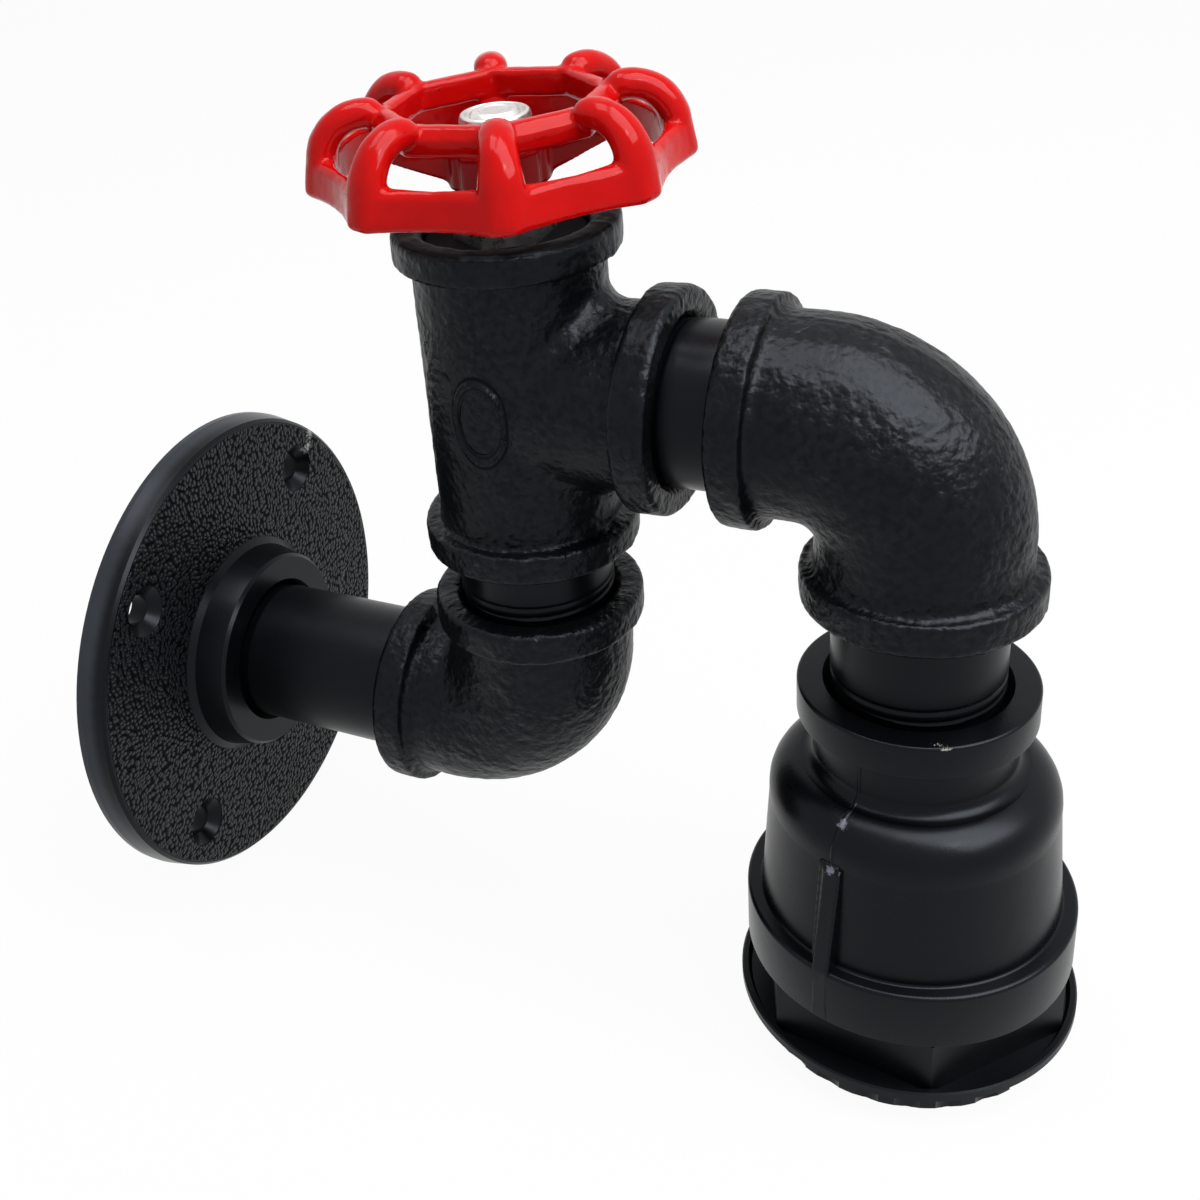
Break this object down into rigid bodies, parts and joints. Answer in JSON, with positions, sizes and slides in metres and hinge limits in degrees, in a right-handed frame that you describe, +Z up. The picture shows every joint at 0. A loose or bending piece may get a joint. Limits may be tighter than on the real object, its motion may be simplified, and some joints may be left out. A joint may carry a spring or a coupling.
{
  "type": "pipe wall light",
  "caption": "Wall light built from screwed pipe fittings, with a handwheel rotary switch on the tee and a swivelling bell-shaped lamp head",
  "frame": {"origin": "centre of the wall flange's back face, on the wall", "axes": "+Z up along the riser pipe; +Y into the wall along the wall nipple's axis, so the light stands out along -Y; +X to the right of someone facing the wall"},
  "size_m": [0.0936, 0.1666, 0.1626],
  "materials": {
    "black_cast": "satin",
    "black_pipe": "satin",
    "red_enamel": "gloss",
    "plated_steel": "polished",
    "switch_case": "matte",
    "black_plastic": "satin",
    "porcelain": "gloss",
    "nickel_shell": "satin",
    "brass_contact": "satin",
    "sheath": "matte"
  },
  "bodies": {
    "wall_base": {"wall_flange": "black_cast", "wall_nipple": "black_pipe", "lower_elbow": "black_cast", "riser_nipple": "black_pipe", "wall_cable": "sheath"},
    "arm": {"tee": "black_cast", "branch_nipple": "black_pipe", "switch_bush": "black_cast", "switch_body": "switch_case", "switch_nut": "plated_steel", "arm_cable": "sheath", "switch_leads": "sheath"},
    "wheel": {"handwheel": "red_enamel", "switch_spindle": "plated_steel", "wheel_washer": "plated_steel", "wheel_screw": "plated_steel"},
    "head": {"upper_elbow": "black_cast", "lamp_nipple": "black_pipe", "bell_reducer": "black_cast", "holder_shell": "black_plastic", "shade_ring": "black_plastic", "holder_insert": "porcelain", "thread_shell": "nickel_shell", "centre_contact": "brass_contact", "terminal_screws": "brass_contact", "head_cable": "sheath", "holder_wires": "sheath"}
  },
  "joints": [
    {"name": "arm_swivel", "type": "hinge", "parent": "wall_base", "child": "arm", "pos_m": [0, -0.073, 0.0439], "axis": [0, 0, 1], "range_deg": [-90, 90]},
    {"name": "head_tilt", "type": "hinge", "parent": "arm", "child": "head", "pos_m": [0, -0.1165, 0.0664], "axis": [0, -1, 0], "range_deg": [-90, 90]},
    {"name": "wheel_turn", "type": "hinge", "parent": "arm", "child": "wheel", "pos_m": [0, -0.073, 0.1016], "axis": [0, 0, 1], "continuous": true}
  ]
}
